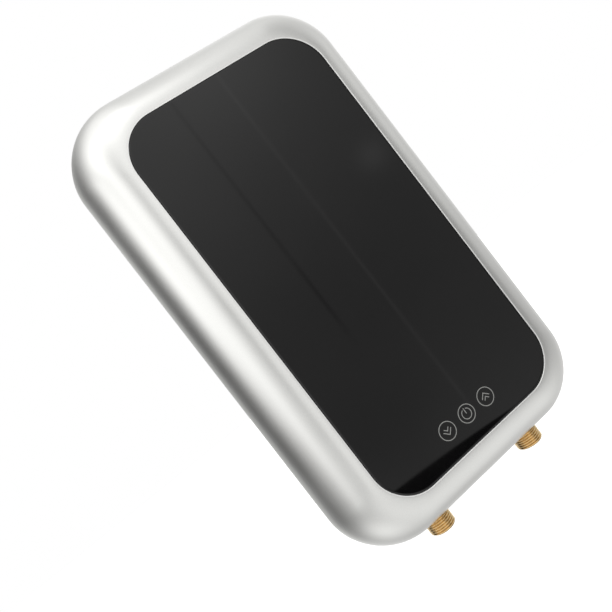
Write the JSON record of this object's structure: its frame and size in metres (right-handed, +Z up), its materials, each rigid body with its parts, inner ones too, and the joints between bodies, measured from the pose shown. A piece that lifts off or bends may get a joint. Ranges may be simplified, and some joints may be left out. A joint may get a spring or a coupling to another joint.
{
  "type": "tankless water heater",
  "caption": "Slim wall-hung instant electric water heater: satin silver case, flush black touch glass, brass pipe connectors under the bottom.",
  "frame": {"origin": "centre of the wall bracket's rear face, on the wall", "axes": "+Z up, -Y out of the wall towards the user, +X to the right as seen by the user"},
  "size_m": [0.222, 0.062, 0.383],
  "materials": {
    "satin_silver": "satin anodised",
    "black_glass": "gloss",
    "black_foam": "matte",
    "black_plastic": "fine moulded texture",
    "white_plastic": "semi-gloss",
    "grey_plastic": "matte",
    "blue_plastic": "semi-gloss",
    "red_plastic": "semi-gloss",
    "zinc_steel": "zinc plated",
    "stainless": "drawn tube",
    "brass": "machined",
    "copper": "drawn tube",
    "aluminium": "milled",
    "black_rubber": "matte",
    "green_board": "solder mask",
    "ferrite": "matte"
  },
  "bodies": {
    "heater": {"front_shell": "satin_silver", "glass_panel": "black_glass", "glass_adhesive": "black_foam", "rear_cover": "black_plastic", "wall_bracket": "zinc_steel", "cable_grommet": "black_rubber", "cold_connector": "brass", "hot_connector": "brass", "cold_seal": "black_rubber", "hot_seal": "black_rubber", "inlet_strainer": "white_plastic", "connector_clamp": "zinc_steel", "clamp_screw": "zinc_steel", "flow_meter_body": "black_plastic", "hall_sensor": "grey_plastic", "lower_spider": "white_plastic", "upper_spider": "white_plastic", "turbine_shaft": "stainless", "outlet_tee": "black_plastic", "temperature_probe": "stainless", "cold_pipe": "copper", "hot_pipe": "copper", "cold_bottom_cap": "black_plastic", "hot_bottom_cap": "black_plastic", "cold_chamber": "stainless", "hot_chamber": "stainless", "cold_heating_element": "stainless", "hot_heating_element": "stainless", "top_manifold": "black_plastic", "thermal_cutout": "black_plastic", "upper_strap": "zinc_steel", "lower_strap": "zinc_steel", "upper_strap_screw": "zinc_steel", "lower_strap_screw": "zinc_steel", "triac_saddle": "aluminium", "lower_triac": "black_plastic", "upper_triac": "black_plastic", "power_board": "green_board", "main_relay": "blue_plastic", "board_transformer": "ferrite", "smoothing_capacitor": "black_plastic", "residual_coil": "green_board", "terminal_block": "white_plastic", "panel_carrier": "black_plastic", "touch_board": "green_board", "display_module": "black_plastic", "touch_spring_down": "stainless", "touch_spring_power": "stainless", "touch_spring_up": "stainless", "live_lead": "red_plastic", "neutral_lead": "blue_plastic", "panel_cable": "grey_plastic", "hot_element_lead": "grey_plastic", "cold_element_lead": "grey_plastic", "cover_screw_1": "zinc_steel", "cover_screw_2": "zinc_steel", "cover_screw_3": "zinc_steel", "cover_screw_4": "zinc_steel"},
    "turbine": {"turbine_rotor": "blue_plastic"},
    "cutout_reset": {"reset_button": "red_plastic"}
  },
  "joints": [
    {"name": "turbine_spin", "type": "hinge", "parent": "heater", "child": "turbine", "pos_m": [0.0485, -0.02, -0.17655], "axis": [0, 0, 1], "continuous": true},
    {"name": "reset_travel", "type": "slide", "parent": "heater", "child": "cutout_reset", "axis": [0, -1, 0], "range_m": [0, 0.0012]}
  ]
}
